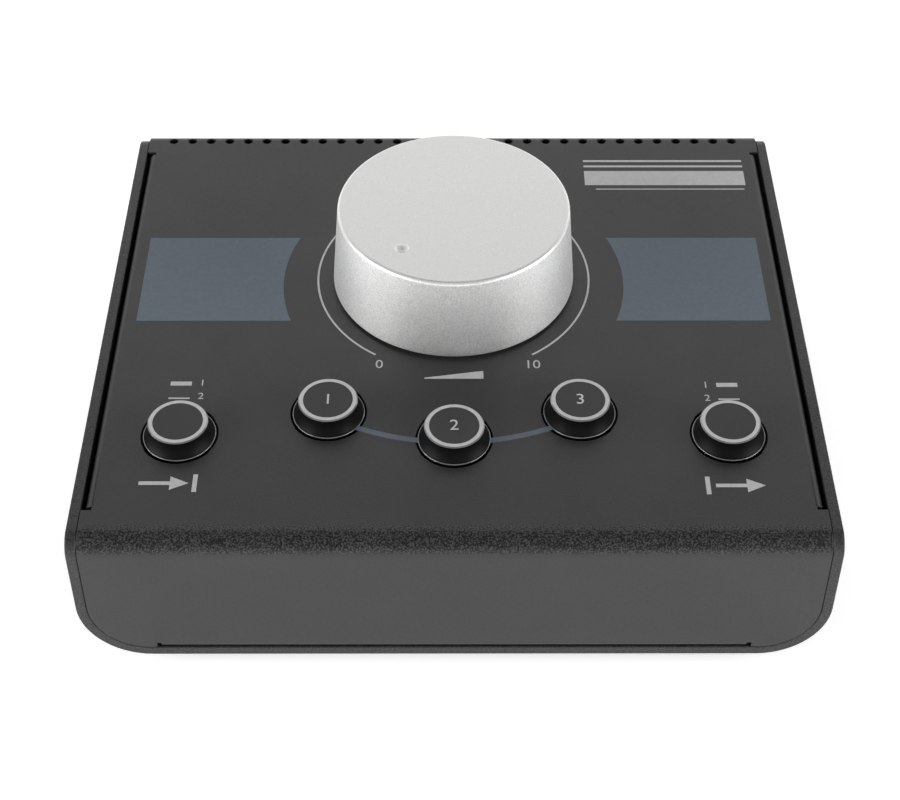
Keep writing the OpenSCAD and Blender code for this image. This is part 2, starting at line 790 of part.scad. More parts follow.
// A round shaft with a flat along its upper part
module d_shaft(d, low, flat_low, top) {
    difference() {
        translate([0, 0, low]) cylinder(top - low, d = d);
        translate([-d, shaft_d / 2 - shaft_flat + (d - shaft_d) / 2, flat_low])
            cube([2 * d, d, top - flat_low + over]);
    }
}

module pot_shaft() {
    color("#c2c4c7") on_panel() d_shaft(shaft_d, shaft_low, hub_low + hub_lead, shaft_top);
}

// Two discs that carry the wipers, fixed on the shaft inside the case
module pot_rotor() {
    gap = (pot_h - pot_wall - 2 * rotor_t) / 3;
    color("#a6762c") on_panel() for (k = [0, 1])
        translate([0, 0, pot_low + pot_wall + gap + k * (rotor_t + gap)])
            ring(pot_d - 2 * (pot_wall + rotor_gap), shaft_d + 2 * fit_gap, rotor_t);
}

// ---------------------------------------------------------------- volume knob

// Half of the knob's section: a tapered side that runs into a rounded top edge
module knob_section() {
    base_r = knob_base_d / 2;
    top_r = knob_top_d / 2;
    taper = atan((base_r - top_r) / knob_h);
    centre = [top_r - knob_edge_r * (1 - sin(taper)) / cos(taper), knob_h - knob_edge_r];
    side = centre + knob_edge_r * [cos(taper), sin(taper)];
    polygon([[0, 0], [base_r, 0], side, [centre[0], knob_h], [0, knob_h]]);
    translate(centre) circle(knob_edge_r);
}

module volume_knob() {
    dimple_ball_r = (dimple_d * dimple_d / 4 + dimple_depth * dimple_depth) / (2 * dimple_depth);
    color("#d2d2d0") on_panel() translate([0, 0, knob_gap]) difference() {
        rotate_extrude($fn = 96) knob_section();
        translate([0, 0, -over]) cylinder(knob_h - knob_roof + over, d = knob_bore_d);
        rotate(-dimple_angle) translate([0, -dimple_r, knob_h - dimple_depth + dimple_ball_r])
            sphere(dimple_ball_r);
    }
}

// Plastic core: a boss on the shaft and six ribs that reach the knob's wall
module knob_hub() {
    color("#2a2a2c") on_panel() difference() {
        union() {
            translate([0, 0, hub_low]) cylinder(hub_top - hub_low, d = hub_d);
            intersection() {
                translate([0, 0, hub_top - hub_rib_h])
                    cylinder(hub_rib_h, d = knob_bore_d - 2 * fit_gap);
                for (a = [0 : 60 : 120]) rotate(a)
                    translate([-knob_bore_d / 2, -hub_rib_t / 2, hub_top - hub_rib_h])
                        cube([knob_bore_d, hub_rib_t, hub_rib_h]);
            }
        }
        d_shaft(shaft_d + 2 * fit_gap, hub_low - over, hub_low + hub_lead, shaft_top);
    }
}

// ---------------------------------------------------------------- buttons

// Half of a cap's section: chamfered top, hollow flared skirt, upright rim, retaining flange
module cap_section() {
    top_r = cap_top_d / 2;
    base_r = cap_base_d / 2;
    flare_h = cap_h - cap_chamfer - cap_rim;
    flare_r = (pow(base_r - top_r, 2) + pow(flare_h, 2)) / (2 * (base_r - top_r));
    difference() {
        polygon([[0, cap_h], [top_r - cap_chamfer, cap_h], [top_r, cap_h - cap_chamfer],
            [base_r, cap_rim], [base_r, cap_low + cap_flange_t],
            [cap_flange_d / 2, cap_low + cap_flange_t], [cap_flange_d / 2, cap_low], [0, cap_low]]);
        translate([top_r + flare_r, cap_h - cap_chamfer]) circle(flare_r, $fn = 96);
        polygon([[-over, cap_low - over], [base_r - cap_wall, cap_low - over],
            [base_r - cap_wall, 0], [top_r - cap_wall, cap_h / 2],
            [top_r - cap_wall, cap_h - cap_wall], [-over, cap_h - cap_wall]]);
    }
}

module button_cap(i) {
    color("#151516") on_panel() translate(BUTTON_AT[i]) {
        rotate_extrude($fn = 72) intersection() {
            cap_section();
            translate([0, cap_low - over]) square([cap_flange_d, cap_h - cap_low + 2 * over]);
        }
        difference() {
            translate([0, 0, boss_low]) cylinder(cap_h - cap_wall - boss_low, d = cap_boss_d);
            translate([-stem_hole_w / 2, -stem_hole_w / 2, boss_low - over])
                cube([stem_hole_w, stem_hole_w, stem_top - boss_low + over]);
        }
    }
}

module button_plunger(i) {
    color("#d8d4c8") on_panel() translate(BUTTON_AT[i]) {
        translate([-stem_w / 2, -stem_w / 2, collar_low])
            cube([stem_w, stem_w, stem_top - collar_low]);
        translate([-collar_w / 2, -collar_w / 2, collar_low]) cube([collar_w, collar_w, collar_t]);
    }
}

// One ring of the spring's wire, at angle a along the coil, set square to the wire
function wire_ring(a, low, pitch, sides) = [for (k = [0 : sides - 1])
    let (c = spring_wire / 2 * cos(k * 360 / sides), s = spring_wire / 2 * sin(k * 360 / sides))
        [(spring_d / 2 + c) * cos(a), (spring_d / 2 + c) * sin(a), low + pitch * a / 360 + s]];

// A coil spring between the switch's floor and the plunger's collar
module button_spring(i) {
    sides = 5;
    steps_per_turn = 14;
    steps = spring_turns * steps_per_turn;
    low = -board_drop + switch_wall + spring_wire / 2 + fit_gap;
    high = collar_low - spring_wire / 2 - fit_gap;
    points = [for (j = [0 : steps])
        each wire_ring(j * 360 / steps_per_turn, low, (high - low) / spring_turns, sides)];
    skin = [for (j = [0 : steps - 1]) for (k = [0 : sides - 1])
        let (a = j * sides + k, b = j * sides + (k + 1) % sides)
            each [[a, b + sides, a + sides], [a, b, b + sides]]];
    ends = [[for (k = [sides - 1 : -1 : 0]) k], [for (k = [0 : sides - 1]) steps * sides + k]];
    color("#b9bcc0") on_panel() translate(BUTTON_AT[i]) polyhedron(points, concat(skin, ends));
}

// ---------------------------------------------------------------- jack sockets

// Two rows of three pins under each socket body
jack_columns = [-4.5, 4.5];
jack_rows = [6, 14, 22];

module jack_board() {
    color("#1f5a35") difference() {
        translate([0, 0, jack_board_top])
            board([-jack_board_w / 2, jack_board_front],
                [jack_board_w / 2, jack_board_rear]);
        jack_pin_set(jack_board_top + over, jack_board_top - board_t - over, pin_d + 2 * hole_gap);
    }
}

// Pins of all the sockets, counted forwards from the rear panel
module jack_pin_set(from, to, d) {
    for (i = [0 : jack_count - 1]) translate([jack_x(i), panel_back_y, 0])
        mirror([0, 1, 0]) pins(jack_columns, jack_rows, from, to, d);
}

module jack_pins() {
    color("#d0d0cc") jack_pin_set(jack_board_top, jack_board_top - board_t - pin_tail, pin_d);
}

// Moulded body with a threaded nose through the rear panel and a blind bore for the plug
module jack_bodies() {
    color("#202022") at_jacks() difference() {
        union() {
            translate([-jack_body_w / 2, -jack_body_w / 2, -sheet_t - jack_body_d])
                cube([jack_body_w, jack_body_w, jack_body_d]);
            translate([0, 0, -sheet_t]) cylinder(sheet_t + jack_nose_out, d = jack_nose_d);
        }
        translate([0, 0, jack_nose_out - jack_bore_depth])
            cylinder(jack_bore_depth + over, d = jack_bore_d);
        translate([0, 0, jack_nose_out - jack_mouth_chamfer])
            cylinder(jack_mouth_chamfer, d1 = jack_bore_d, d2 = jack_bore_d + 2 * jack_mouth_chamfer);
    }
}

module jack_washers() {
    color("#c9cbce") at_jacks() ring(jack_washer_d, jack_nose_d + 2 * hole_gap, washer_t);
}

// Hexagon nuts with a chamfer round their outer face
module jack_nuts() {
    color("#c9cbce") at_jacks() translate([0, 0, washer_t]) difference() {
        intersection() {
            linear_extrude(jack_nut_t) hexagon(jack_nut_af);
            cylinder(jack_nut_t, d1 = jack_nut_af + 2 * jack_nut_t, d2 = jack_nut_af);
        }
        translate([0, 0, -over]) cylinder(jack_nut_t + 2 * over, d = jack_nose_d + 2 * fit_gap);
    }
}

// ---------------------------------------------------------------- ribbon cable

// An open box that stands on a board at Z = 0, with its length along X
module header() {
    difference() {
        translate([-header_l / 2, -header_w / 2, 0]) cube([header_l, header_w, header_h]);
        translate([header_wall - header_l / 2, header_wall - header_w / 2, header_wall])
            cube([header_l - 2 * header_wall, header_w - 2 * header_wall, header_h]);
    }
}

// The plug that fills a header, with the slot that its end of the ribbon lies in
module plug() {
    gap = header_wall + hole_gap;
    difference() {
        union() {
            translate([gap - header_l / 2, gap - header_w / 2, header_wall])
                cube([header_l - 2 * gap, header_w - 2 * gap, header_h]);
            translate([gap - header_l / 2, -header_w / 2, header_h])
                cube([header_l - 2 * gap, header_w, plug_rise]);
        }
        translate([-ribbon_w / 2 - hole_gap, -header_w / 2 - over, header_h + plug_rise / 2
            - plug_slot_h / 2]) cube([ribbon_w + 2 * hole_gap, header_w + 2 * over, plug_slot_h]);
    }
}

module at_control_header() {
    on_panel() translate([0, control_header_v, -board_drop - board_t]) mirror([0, 0, 1]) children();
}

module at_jack_header() {
    translate([0, jack_header_y, jack_board_top]) children();
}

module control_header() {
    color("#26262a") at_control_header() header();
}

module jack_header() {
    color("#26262a") at_jack_header() header();
}

module ribbon_plugs() {
    color("#37373c") {
        at_control_header() plug();
        at_jack_header() plug();
    }
}

// A bend of the ribbon that starts along +X at the origin and turns left by angle
module ribbon_bend(r, angle) {
    side = angle < 0 ? 1 : 0;
    far = 4 * r;
    half = abs(angle) / 2;
    mirror([0, side]) translate([0, r]) intersection() {
        difference() {
            circle(r + ribbon_t / 2);
            circle(r - ribbon_t / 2);
        }
        polygon([[0, 0], [0, -far], far * [sin(half), -cos(half)] * 2,
            far * [sin(2 * half), -cos(2 * half)]]);
    }
}

// Draws a chain of [straight length, turn, bend radius] steps, each from the last one's end
module ribbon_run(steps, i = 0) {
    if (i < len(steps)) {
        length = steps[i][0];
        turn = steps[i][1];
        r = steps[i][2];
        if (length > 0) translate([-bend_lap, -ribbon_t / 2 - bend_lap])
            square([length + 2 * bend_lap, ribbon_t + 2 * bend_lap]);
        translate([length, 0]) {
            if (turn != 0) ribbon_bend(r, turn);
            translate([r * sin(abs(turn)), sign(turn) * r * (1 - cos(turn))]) rotate(turn)
                ribbon_run(steps, i + 1);
        }
    }
}

module ribbon_cable() {
    steps = [[header_w, -90 - slope, ribbon_r], [ribbon_drop, 180, ribbon_loop_r],
        [ribbon_rise, -90, ribbon_r], [header_w, 0, 0]];
    color("#9a9a98") along_x(ribbon_w)
        translate(ribbon_start) rotate(slope) translate([-header_w, 0]) ribbon_run(steps);
}

// ---------------------------------------------------------------- all the pieces

lower_shell();
top_cover();
rear_panel();
rubber_feet();
bottom_screws();
rear_screws();
clinch_nuts();
control_board();
standoffs();
board_screws();
switch_bodies();
switch_pins();
pot_bush();
pot_case();
pot_pins();
pot_washer();
pot_nut();
control_header();
jack_board();
jack_bodies();
jack_pins();
jack_washers();
jack_nuts();
jack_header();
ribbon_plugs();
ribbon_cable();
volume_knob();
knob_hub();
pot_shaft();
pot_rotor();
for (i = [0 : len(BUTTONS) - 1]) {
    button_cap(i);
    button_plunger(i);
    button_spring(i);
}
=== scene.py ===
import json
import math

import bmesh
import bpy
from mathutils import Matrix, Vector


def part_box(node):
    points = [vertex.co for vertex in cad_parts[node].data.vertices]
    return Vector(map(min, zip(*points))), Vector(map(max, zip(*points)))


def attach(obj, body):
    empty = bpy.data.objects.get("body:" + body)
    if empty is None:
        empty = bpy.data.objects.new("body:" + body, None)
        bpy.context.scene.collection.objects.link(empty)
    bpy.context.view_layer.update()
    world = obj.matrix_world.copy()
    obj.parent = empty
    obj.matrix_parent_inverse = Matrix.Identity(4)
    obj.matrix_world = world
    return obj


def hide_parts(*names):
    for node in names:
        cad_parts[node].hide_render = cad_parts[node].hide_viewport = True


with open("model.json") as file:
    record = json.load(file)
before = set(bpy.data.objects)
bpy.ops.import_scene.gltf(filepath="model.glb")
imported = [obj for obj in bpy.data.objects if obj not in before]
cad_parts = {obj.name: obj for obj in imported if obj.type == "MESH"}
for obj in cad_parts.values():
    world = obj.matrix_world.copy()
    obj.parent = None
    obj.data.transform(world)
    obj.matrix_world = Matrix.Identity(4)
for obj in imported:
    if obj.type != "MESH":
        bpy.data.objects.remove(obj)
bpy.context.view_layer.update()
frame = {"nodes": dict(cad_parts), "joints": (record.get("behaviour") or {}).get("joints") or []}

scene = bpy.context.scene
MM = 0.001

# ------------------------------------------------------------------ camera
# The eye stands in front of the desk and looks down on the sloping panel.
# Its place and lens come from the photograph's straight edges and circles.
eye = Vector((-2.10, -390.20, 365.81)) * MM
look_down, look_right, roll = (math.radians(a) for a in (41.85, 0.164, 0.081))
camera_data = bpy.data.cameras.new("camera")
camera_data.sensor_width = 36.0
camera_data.lens = 71.01
camera_data.clip_start = 0.01
camera_data.clip_end = 20.0
camera = bpy.data.objects.new("camera", camera_data)
scene.collection.objects.link(camera)
camera.matrix_world = (
    Matrix.Translation(eye)
    @ Matrix.Rotation(-look_right, 4, "Z")
    @ Matrix.Rotation(math.pi / 2 - look_down, 4, "X")
    @ Matrix.Rotation(roll, 4, "Z")
)
scene.camera = camera
scene.view_settings.view_transform = "Standard"

# ------------------------------------------------------------------ lower shell
# The bottom and both side walls: one 2.8 mm steel sheet, bent to a U and powder coated
# in a fine dark texture. Its sheared edges are eased and frame the top cover.
joint = {j["name"]: j for j in frame["joints"]}
up_from_panel = -Vector(joint["volume_turn"]["axis"]).normalized()
slope = math.asin(-up_from_panel.y)
on_panel = Matrix.Translation(joint["volume_turn"]["pos_m"]) @ Matrix.Rotation(slope, 4, "X")


def shader(name, sockets):
    """A new material with its nodes, its Principled shader and its Object coordinates"""
    material = bpy.data.materials.new(name)
    material.use_nodes = True
    tree = material.node_tree
    principled = tree.nodes["Principled BSDF"]
    for socket, value in sockets.items():
        principled.inputs[socket].default_value = value
    place = tree.nodes.new("ShaderNodeTexCoord").outputs["Object"]
    return material, tree, principled, place


def noise(tree, place, per_metre, detail=2.0, rough=0.5, stretch=None):
    """A noise value whose features are about one over per_metre wide"""
    if stretch:
        longer = tree.nodes.new("ShaderNodeVectorMath")
        longer.operation = "MULTIPLY"
        longer.inputs[1].default_value = stretch
        tree.links.new(place, longer.inputs[0])
        place = longer.outputs["Vector"]
    node = tree.nodes.new("ShaderNodeTexNoise")
    node.inputs["Scale"].default_value = per_metre
    node.inputs["Detail"].default_value = detail
    node.inputs["Roughness"].default_value = rough
    tree.links.new(place, node.inputs["Vector"])
    return node.outputs["Fac"]


def spread(tree, value, low, high, start=0.3, end=0.7):
    """The value from start to end, spread over low to high"""
    node = tree.nodes.new("ShaderNodeMapRange")
    ends = {"From Min": start, "From Max": end, "To Min": low, "To Max": high}
    for socket, number in ends.items():
        node.inputs[socket].default_value = number
    tree.links.new(value, node.inputs["Value"])
    return node.outputs["Result"]


def combine(tree, operation, a, b):
    """Two values, or a value and a number, put through one arithmetic step"""
    node = tree.nodes.new("ShaderNodeMath")
    node.operation = operation
    for socket, part in zip(node.inputs, (a, b)):
        if isinstance(part, (int, float)):
            socket.default_value = part
        else:
            tree.links.new(part, socket)
    return node.outputs["Value"]


def blend_colours(tree, factor, a, b):
    """Colour a where the factor is 0 and colour b where it is 1"""
    node = tree.nodes.new("ShaderNodeMix")
    node.data_type = "RGBA"
    tree.links.new(factor, node.inputs["Factor"])
    for socket, colour in zip(node.inputs[6:8], (a, b)):
        if isinstance(colour, tuple):
            socket.default_value = (*colour, 1.0)
        else:
            tree.links.new(colour, socket)
    return node.outputs[2]


def bumps(tree, principled, height, depth):
    """Height from 0 to 1 as relief of the given depth in metres"""
    node = tree.nodes.new("ShaderNodeBump")
    node.inputs["Distance"].default_value = depth
    tree.links.new(height, node.inputs["Height"])
    tree.links.new(node.outputs["Normal"], principled.inputs["Normal"])


def shades(tone, dark, light):
    """A darker and a lighter shade of one colour"""
    return tuple(c * dark for c in tone), tuple(c * light for c in tone)


def colour_and_gloss(tree, principled, colour, rough):
    """Gives the shader its colour and its roughness"""
    tree.links.new(colour, principled.inputs["Base Color"])
    tree.links.new(rough, principled.inputs["Roughness"])


PEBBLES, GLOSS_PATCHES, CLOUDS = 2300, 900, 60
# Over a bend the coat's colour is painted: a stronger speckle of shade and highlight, and shade
# that is darker towards the front
COAT_DARK, COAT_LIGHT, BEND_PAINTED_SPECKLE = 0.12, 1.88, 1.7
BEND_SHADE_LOW, BEND_SHADE_HIGH = 0.26, 0.08


def over_bend(tree, place, bend):
    """How much a spot lies on the bend, and how much painted shade darkens the coat there"""
    parts = tree.nodes.new("ShaderNodeSeparateXYZ")
    tree.links.new(place, parts.inputs["Vector"])
    back, foot = bend
    forward = spread(tree, parts.outputs["Y"], 1.0, 0.0, back - 1 * MM, back + 2 * MM)
    above = spread(tree, parts.outputs["Z"], 0.0, 1.0, foot + 1.3 * MM, foot + 2.3 * MM)
    darker = spread(tree, parts.outputs["Y"], BEND_SHADE_LOW, BEND_SHADE_HIGH,
                    back - 4.5 * MM, back - 0.5 * MM)
    return combine(tree, "MULTIPLY", forward, above), darker


def powder_coat(name, tone, depth, speckle, rough=(0.36, 0.46), bend=None):
    """Textured powder coat: fine pebbles, with deeper relief over a bend, where painted shade
    darkens the coat and a painted speckle of shade and highlight is stronger
    """
    material, tree, principled, place = shader(name, {"IOR": 1.5})
    pebbles = noise(tree, place, PEBBLES, 1.0, 0.5)
    mottle_and_painted_shade = spread(tree, noise(tree, place, CLOUDS, 4.0, 0.6), 0.45, 0.55)
    speckle_with_painted_bend_speckle, relief = speckle, pebbles
    if bend:
        on_bend, darker = over_bend(tree, place, bend)
        # Stronger colour speckle on the bend: painted shade and highlight
        speckle_with_painted_bend_speckle = combine(tree, "ADD", combine(tree, "MULTIPLY", on_bend, BEND_PAINTED_SPECKLE), speckle)
        relief = combine(tree, "MULTIPLY", pebbles, combine(tree, "ADD", on_bend, 1.0))
        # Darker colour on the bend: painted shade
        mottle_and_painted_shade = combine(tree, "SUBTRACT", mottle_and_painted_shade, combine(tree, "MULTIPLY", on_bend, darker))
    bumps(tree, principled, relief, depth)
    grain = combine(tree, "MULTIPLY", spread(tree, pebbles, -0.5, 0.5, 0.32, 0.68), speckle_with_painted_bend_speckle)
    colour = blend_colours(
        tree, combine(tree, "ADD", grain, mottle_and_painted_shade), *shades(tone, COAT_DARK, COAT_LIGHT)
    )
    gloss = spread(tree, noise(tree, place, GLOSS_PATCHES, 3.0), *rough)
    colour_and_gloss(tree, principled, colour, gloss)
    return material


def merged_copy(node, whole_faces=True):
    """A CAD solid's mesh, merged, with its triangles joined into whole faces if wanted"""
    bm = bmesh.new()
    bm.from_mesh(frame["nodes"][node].data)
    bmesh.ops.remove_doubles(bm, verts=bm.verts, dist=0.002 * MM)
    if whole_faces:
        bmesh.ops.dissolve_limit(
            bm, angle_limit=math.radians(0.5), verts=bm.verts, edges=bm.edges
        )
    return bm


def finish_piece(bm, name, body, material, replaced=(), sharp=30, eased=0.0, segments=2):
    """Makes the mesh a piece that rides on its body, with its sharp edges eased"""
    mesh = bpy.data.meshes.new(name)
    bm.to_mesh(mesh)
    bm.free()
    for layer in ("custom_normal", "sharp_face"):
        if layer in mesh.attributes:
            mesh.attributes.remove(mesh.attributes[layer])
    materials = material if isinstance(material, (list, tuple)) else [material]
    for one in materials:
        mesh.materials.append(one)
    mesh.shade_smooth()
    mesh.set_sharp_from_angle(angle=math.radians(sharp))
    piece = bpy.data.objects.new(name, mesh)
    scene.collection.objects.link(piece)
    if eased:
        bevel = piece.modifiers.new("eased_edges", "BEVEL")
        bevel.width = eased * MM
        bevel.segments = segments
        bevel.limit_method = "ANGLE"
        bevel.angle_limit = math.radians(40)
        bevel.use_clamp_overlap = False
        bevel.harden_normals = False
        bevel.miter_outer = "MITER_ARC"
        weighted = piece.modifiers.new("flat_faces", "WEIGHTED_NORMAL")
        weighted.keep_sharp = True
    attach(piece, body)
    for node in replaced:
        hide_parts(node)
    return piece


shell_coat = powder_coat("shell_coat", (0.028, 0.028, 0.0285), 0.1 * MM, 0.8)
finish_piece(
    merged_copy("lower_shell"), "shell_sheet", "housing", shell_coat,
    ["lower_shell"], eased=0.35, segments=3,
)

# ------------------------------------------------------------------ top cover
# Front, sloping panel and rear flange: one 1.2 mm steel sheet, punched, folded and coated
# in the same fine texture. It hangs by its folded flanges inside the shell, and the coat
# nearly closes the seam between the two.
SHELL_SHEET, SHELL_CORNER, SEAM, OPEN_SEAM, NEAR_SEAM = 2.8, 18.0, 0.3, 0.12, 0.02
FRONT_BEND, HOLE_R, HOLE_COAT, NEAR_HOLE, HOLE_DEPTH = 5.5, 10.4, 0.22, 0.1, 3.0
BUTTONS = ("source", "mono", "mute", "dim", "monitor")


def close_seam(bm):
    """Moves the cut edges beside the shell and around the buttons by the coat's build-up"""
    low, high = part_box("lower_shell")
    corner_x, corner_z = high.x - SHELL_CORNER * MM, low.z + SHELL_CORNER * MM
    reach = (SHELL_CORNER - SHELL_SHEET - SEAM - NEAR_SEAM) * MM
    for v in bm.verts:
        across = Vector((abs(v.co.x) - corner_x, 0, min(v.co.z - corner_z, 0)))
        if across.x > 0 and across.length > reach:
            coat = across.normalized() * (SEAM - OPEN_SEAM) * MM
            v.co += Vector((math.copysign(coat.x, v.co.x), 0, coat.z))
    for button in BUTTONS:
        axis_at = on_panel.inverted() @ (sum(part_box(button + "_cap"), Vector()) / 2)
        for v in bm.verts:
            local = on_panel.inverted() @ v.co
            out = Vector((local.x - axis_at.x, local.y - axis_at.y, 0))
            if abs(out.length - HOLE_R * MM) < NEAR_HOLE * MM and local.z > -HOLE_DEPTH * MM:
                v.co -= (on_panel.to_3x3() @ out.normalized()) * HOLE_COAT * MM
    return bm


cover_low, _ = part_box("top_cover")
bend_back = cover_low.y + FRONT_BEND * MM
panel_there = on_panel.translation.z - (on_panel.translation.y - bend_back) * math.tan(slope)
# Over the front bend the cover's colour carries painted shade and a painted speckle of shade and
# highlight
cover_coat = powder_coat(
    "cover_coat", (0.032, 0.032, 0.0325), 0.03 * MM, 0.14,
    bend=(bend_back, panel_there - FRONT_BEND * MM),
)
finish_piece(
    close_seam(merged_copy("top_cover")), "cover_sheet", "housing", cover_coat,
    ["top_cover"], eased=0.12,
)

# ------------------------------------------------------------------ rear panel
# A plate of the same 1.2 mm sheet with a folded foot, punched for the jacks and coated the
# same way. Screws hold it behind the cover's rear flange and to the shell's bottom.
finish_piece(
    close_seam(merged_copy("rear_panel")), "rear_plate", "housing", cover_coat,
    ["rear_panel"], eased=0.12,
)

# ------------------------------------------------------------------ rubber feet
# Four moulded discs of black rubber with a fine matt skin, glued under the shell near its
# corners. The part stands on them.


def matt_mould(name, tone, rough, per_metre, depth):
    """Moulded rubber or plastic with a fine matt skin"""
    material, tree, principled, place = shader(name, {"IOR": 1.45})
    skin = noise(tree, place, per_metre, 3.0, 0.6)
    bumps(tree, principled, skin, depth)
    cloud = spread(tree, noise(tree, place, 90, 3.0), 0.0, 1.0)
    colour_and_gloss(tree, principled, blend_colours(tree, cloud, *shades(tone, 0.8, 1.2)),
                     spread(tree, skin, rough - 0.07, rough + 0.07))
    return material


foot_rubber = matt_mould("foot_rubber", (0.012, 0.012, 0.012), 0.8, 2200, 0.05 * MM)
finish_piece(
    merged_copy("rubber_feet"), "feet", "housing", foot_rubber, ["rubber_feet"],
    eased=0.3,
)

# ------------------------------------------------------------------ screws and clinch nuts
# Countersunk screws from below and pan-head screws at the rear, black oxide; the nuts that
# they enter are zinc plated and pressed into the sheet.


def plated(name, tone, rough, metallic=1.0, per_metre=1800, depth=0.01 * MM):
    """Plated or oxidised metal with faint turning marks and uneven gloss"""
    material, tree, principled, place = shader(name, {"Metallic": metallic})
    marks = noise(tree, place, per_metre, 2.0, 0.5, (1.0, 1.0, 0.12))
    bumps(tree, principled, marks, depth)
    cloud = spread(tree, noise(tree, place, 220, 3.0, 0.6), 0.0, 1.0)
    colour_and_gloss(tree, principled, blend_colours(tree, cloud, *shades(tone, 0.88, 1.0)),
                     spread(tree, marks, rough - 0.06, rough + 0.08))
    return material


black_oxide = plated("black_oxide", (0.03, 0.03, 0.032), 0.38, 0.6)
zinc = plated("zinc_plate", (0.62, 0.64, 0.66), 0.3)
nickel = plated("nickel_plate", (0.74, 0.73, 0.70), 0.18)
for node, finish, slot in (
    ("bottom_screws", black_oxide, "black_steel"),
    ("rear_screws", black_oxide, "black_steel"),
    ("clinch_nuts", zinc, "steel"),
    ("standoffs", zinc, "steel"),
    ("board_screws", zinc, "steel"),
):
    finish_piece(
        merged_copy(node), node + "_finished", "housing", finish, [node],
        eased=0.1, segments=1,
    )

# ------------------------------------------------------------------ jack sockets
# Eight moulded sockets with threaded noses through the rear panel, each held by a plated
# washer and a hexagon nut and soldered to the jack board.
jack_plastic = matt_mould("jack_plastic", (0.012, 0.012, 0.013), 0.42, 1300, 0.02 * MM)
for node, finish, slot, ease in (
    ("jack_bodies", jack_plastic, "black_plastic", 0.25),
    ("jack_washers", nickel, "steel", 0.0),
    ("jack_nuts", nickel, "nickel", 0.0),
):
    finish_piece(
        merged_copy(node, ease > 0), node + "_finished", "housing", finish, [node],
        eased=ease,
    )

# ------------------------------------------------------------------ boards and pins
# Two green glass-fibre boards with tinned pins and a grey ribbon between their headers, the
# five switches and the potentiometer. The CAD's own shapes stay and only get their finish.
MASK, MASK_SHADE, TRACK = (0.02, 0.12, 0.045), (0.018, 0.11, 0.04), (0.04, 0.2, 0.08)


def board_mask(name):
    """Green solder mask over woven glass, with copper tracks that show as a lighter green"""
    material, tree, principled, place = shader(name, {"Roughness": 0.3, "IOR": 1.5})
    weave = tree.nodes.new("ShaderNodeTexWave")
    weave.inputs["Scale"].default_value = 700
    weave.inputs["Distortion"].default_value = 1.0
    tree.links.new(place, weave.inputs["Vector"])
    tracks = tree.nodes.new("ShaderNodeTexBrick")
    tracks.inputs["Scale"].default_value = 90
    tracks.inputs["Mortar Size"].default_value = 0.03
    for socket, colour in zip(("Color1", "Color2", "Mortar"), (MASK, MASK_SHADE, TRACK)):
        tracks.inputs[socket].default_value = (*colour, 1.0)
    tree.links.new(place, tracks.inputs["Vector"])
    tree.links.new(tracks.outputs["Color"], principled.inputs["Base Color"])
    bumps(tree, principled, weave.outputs["Fac"], 0.01 * MM)
    return material


solder_mask = board_mask("solder_mask")
tin = plated("tinned", (0.7, 0.7, 0.68), 0.25)
connector = matt_mould("connector_plastic", (0.016, 0.016, 0.018), 0.5, 1500, 0.02 * MM)
ivory = matt_mould("ivory_plastic", (0.62, 0.59, 0.5), 0.45, 1200, 0.02 * MM)
ribbon_grey = matt_mould("ribbon_grey", (0.3, 0.3, 0.29), 0.5, 800, 0.04 * MM)
bronze = plated("rotor_bronze", (0.6, 0.4, 0.18), 0.3)
for nodes, finish in (
    (("control_board", "jack_board"), solder_mask),
    (("switch_pins", "pot_pins", "jack_pins"), tin),
    (("control_header", "jack_header", "ribbon_plugs", "pot_case", "knob_hub"), connector),
    (("switch_bodies",), ivory),
    (("ribbon_cable",), ribbon_grey),
    (("pot_bush", "pot_washer", "pot_nut", "pot_shaft"), zinc),
    (("pot_rotor",), bronze),
):
    for node in nodes:
        frame["nodes"][node].data.materials[0] = finish

# ------------------------------------------------------------------ print on the panel
# Screen-printed ink: two slate-blue fields, the arc that links the middle buttons, the
# volume arc and small light marks, each a thin layer on the coat.
INK_THICK, INK_ROUGH = 0.02, 0.5


def ink(name, tone):
    """Screen ink that takes a little of the coat's texture"""
    material, tree, principled, place = shader(name, {"IOR": 1.45})
    pebbles = noise(tree, place, 1500, 2.0, 0.55)
    bumps(tree, principled, pebbles, 0.03 * MM)
    cloud = spread(tree, noise(tree, place, 700, 3.0), 0.0, 1.0)
    colour_and_gloss(tree, principled, blend_colours(tree, cloud, *shades(tone, 0.94, 1.05)),
                     spread(tree, pebbles, INK_ROUGH - 0.06, INK_ROUGH + 0.06))
    return material


slate_ink = ink("slate_ink", (0.118, 0.148, 0.183))
light_ink = ink("light_ink", (0.53, 0.53, 0.54))
grey_ink = ink("grey_ink", (0.58, 0.58, 0.585))


def printed(shape, name, material, place=on_panel, body="housing"):
    """A flat shape, drawn in mm on the panel, thickened to a layer of ink"""
    raised = bmesh.ops.extrude_face_region(shape, geom=list(shape.faces))
    upper = [v for v in raised["geom"] if isinstance(v, bmesh.types.BMVert)]
    bmesh.ops.translate(shape, vec=(0, 0, INK_THICK), verts=upper)
    bmesh.ops.recalc_face_normals(shape, faces=shape.faces)
    bmesh.ops.transform(shape, matrix=place @ Matrix.Scale(MM, 4), verts=shape.verts)
    return finish_piece(shape, name, body, material)


def arc_strip(bm, radius, width, start, end, steps):
    """A flat strip along an arc about the Z axis; angles run clockwise from the front"""
    a = math.radians(start)
    turn = math.radians(end - start)
    ray = Vector((-math.sin(a), -math.cos(a), 0))
    ends = [bm.verts.new(ray * r) for r in (radius - width / 2, radius + width / 2)]
    edge = bm.edges.new(ends)
    bmesh.ops.spin(
        bm, geom=ends + [edge], cent=(0, 0, 0), axis=(0, 0, -1), angle=turn, steps=steps,
        use_merge=math.isclose(turn, 2 * math.pi),
    )


